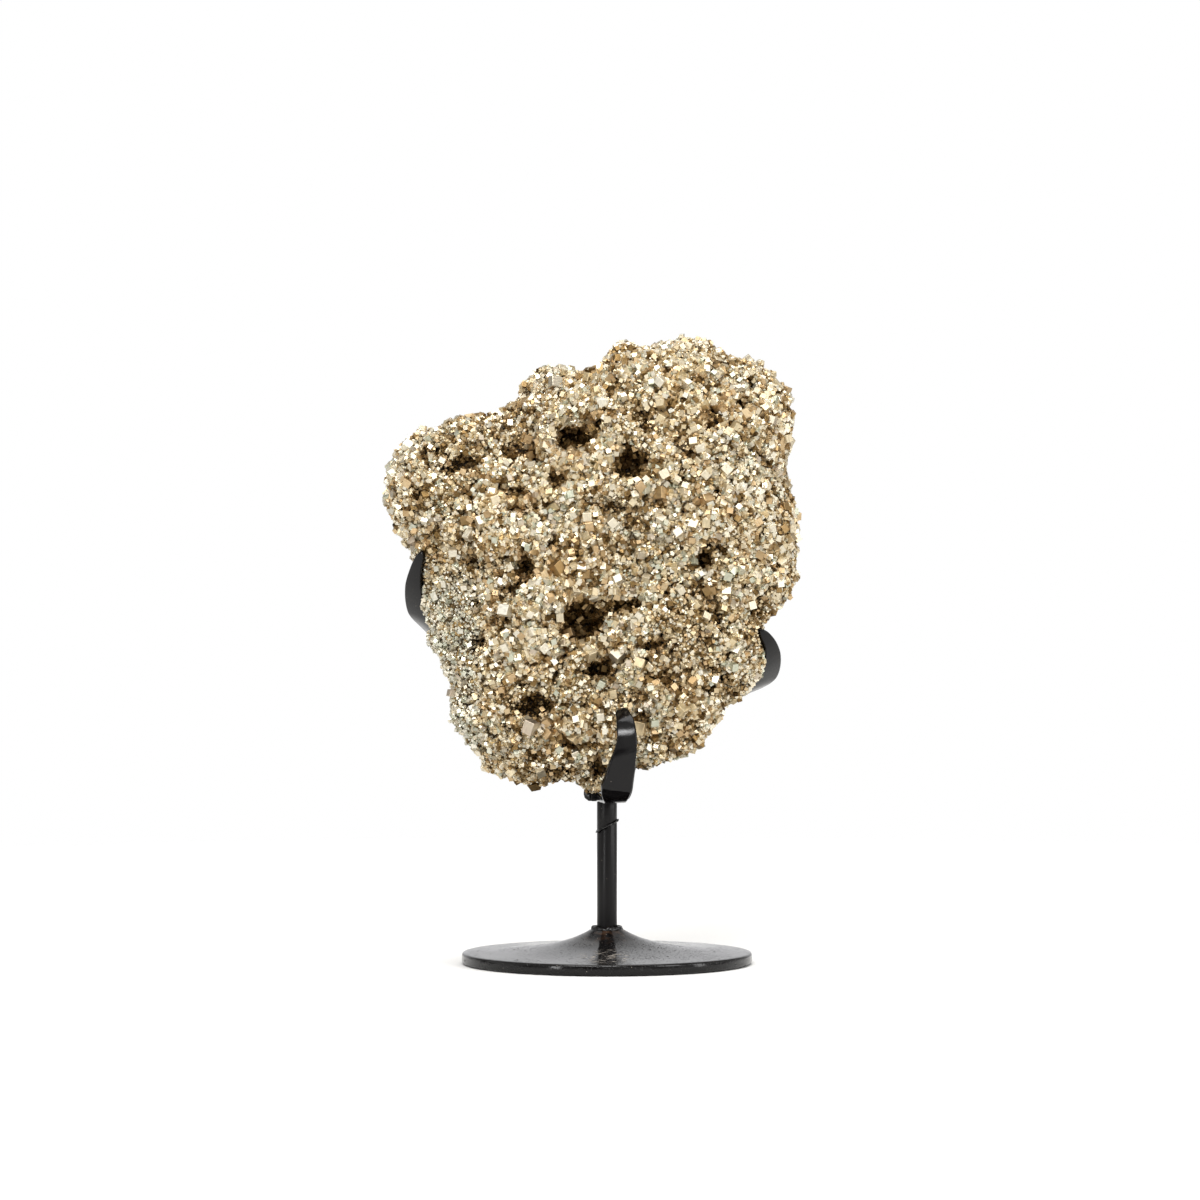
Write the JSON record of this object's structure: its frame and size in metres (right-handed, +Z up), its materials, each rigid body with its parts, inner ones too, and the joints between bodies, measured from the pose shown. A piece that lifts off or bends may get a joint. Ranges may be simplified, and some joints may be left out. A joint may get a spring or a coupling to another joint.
{
  "type": "pyrite cluster on a stand",
  "caption": "Druse of small pyrite cubes held upright by bent iron prongs on a short stem and a round flared base, black enamelled, for showing on a shelf.",
  "frame": {"origin": "centre of the underside of the base disc, on the stem's axis", "axes": "+Z up along the stem; -Y out of the stone's best face; +X to the right as one looks at that face"},
  "size_m": [0.1685, 0.116, 0.251],
  "materials": {
    "base_enamel": "glossy black enamel on a cast disc, faintly pitted, with a few chips",
    "bar_enamel": "satin black enamel over bent and drawn mild steel bar",
    "weld_enamel": "black enamel over lumpy weld metal",
    "pyrite": "pale brassy metallic cube faces with dark brown hollows between them"
  },
  "bodies": {
    "root": {"base_disc": "base_enamel", "stem_rod": "bar_enamel", "stem_stub": "bar_enamel", "base_weld": "weld_enamel", "stem_weld": "weld_enamel", "prong_hub": "bar_enamel", "prong_front": "bar_enamel", "prong_left": "bar_enamel", "prong_right": "bar_enamel", "pyrite_cluster": "pyrite"}
  },
  "joints": []
}
